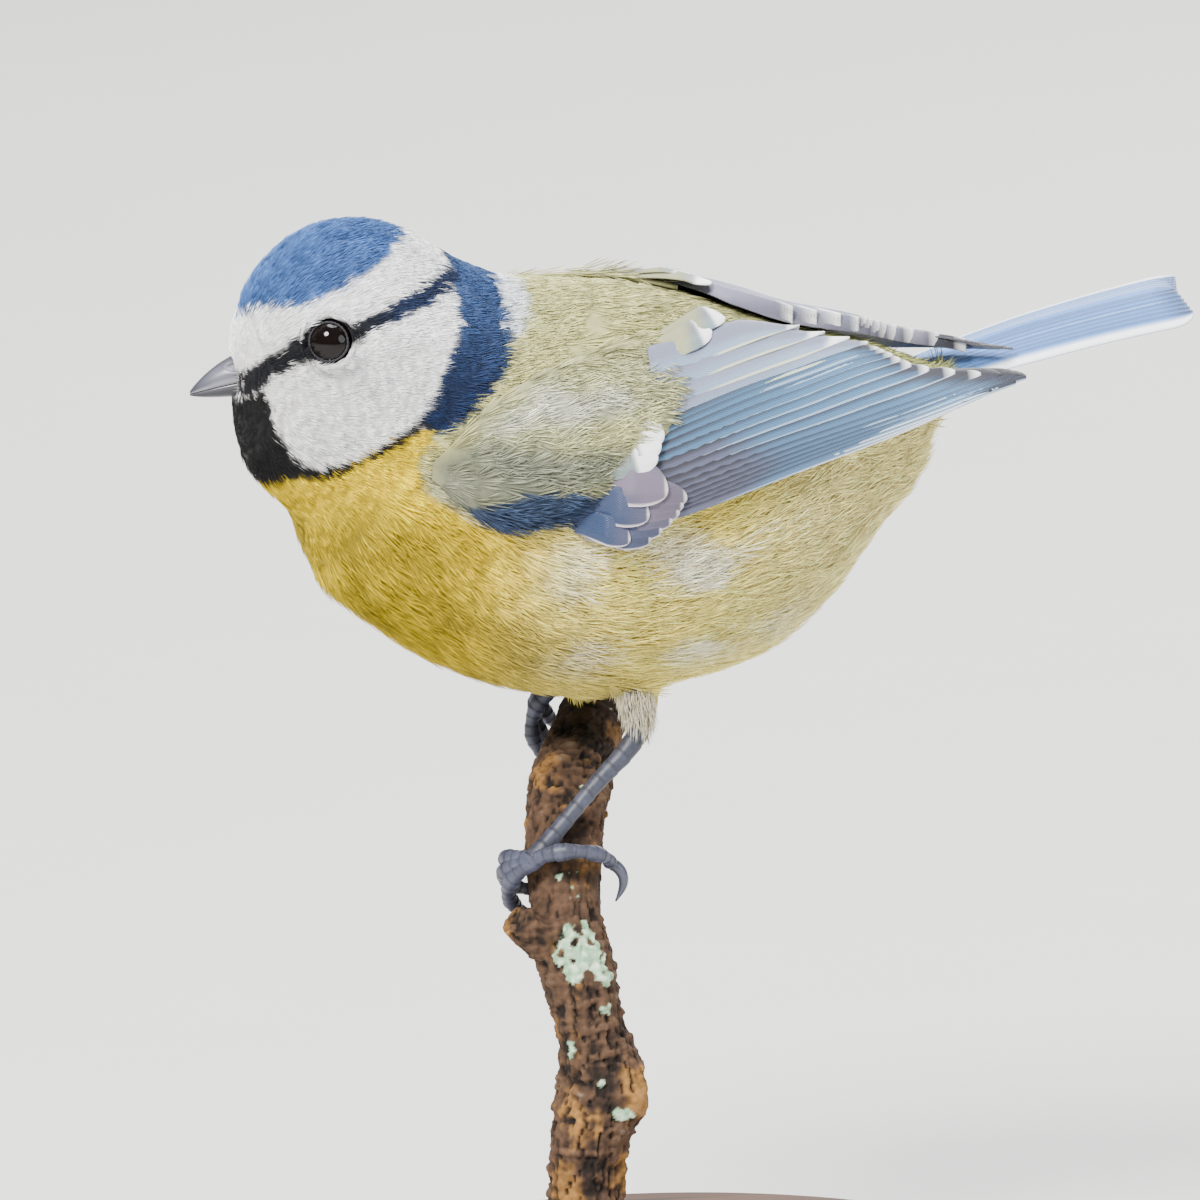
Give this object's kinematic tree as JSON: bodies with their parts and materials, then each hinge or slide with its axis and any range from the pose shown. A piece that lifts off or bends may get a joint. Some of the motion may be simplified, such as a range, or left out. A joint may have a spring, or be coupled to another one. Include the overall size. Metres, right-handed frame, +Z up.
{
  "type": "blue tit model",
  "caption": "Life-size still model of a small perching songbird gripping a short cut branch on a display stand, head level, wings folded and tail raised.",
  "frame": {"origin": "centre of the underside of the stand's base, on the surface it stands on", "axes": "+Z up, the bird faces -X with its tail toward +X, and its left side is -Y"},
  "size_m": [0.1116, 0.084, 0.1261],
  "materials": {
    "crown_feathers": "soft blue, white and black head feathers",
    "collar_feathers": "soft navy and white neck feathers",
    "body_feathers": "soft yellow breast and olive back feathers",
    "wing_feathers": "smooth blue-grey vanes with pale edges",
    "tail_feathers": "smooth blue vanes with a white outer edge",
    "bill_horn": "satin steel-grey horn",
    "eye": "wet, near black",
    "leg_scale": "blue-grey scaled skin",
    "claw_horn": "dark horn",
    "bark": "rough brown bark with pale green lichen",
    "stand_wood": "dark stained, satin",
    "stand_metal": "satin black"
  },
  "bodies": {
    "root": {"bill_lower": "bill_horn", "bill_upper": "bill_horn", "claw_left_front_inner": "claw_horn", "claw_left_front_middle": "claw_horn", "claw_left_front_outer": "claw_horn", "claw_left_hind": "claw_horn", "claw_right_front_inner": "claw_horn", "claw_right_front_middle": "claw_horn", "claw_right_front_outer": "claw_horn", "claw_right_hind": "claw_horn", "eye_left": "eye", "eye_right": "eye", "foot_left": "leg_scale", "foot_right": "leg_scale", "head": "crown_feathers", "neck": "collar_feathers", "perch": "bark", "stand_base": "stand_wood", "stand_rod": "stand_metal", "tail": "tail_feathers", "thigh_left": "body_feathers", "thigh_right": "body_feathers", "torso": "body_feathers", "wing_left": "wing_feathers", "wing_right": "wing_feathers"}
  },
  "joints": []
}
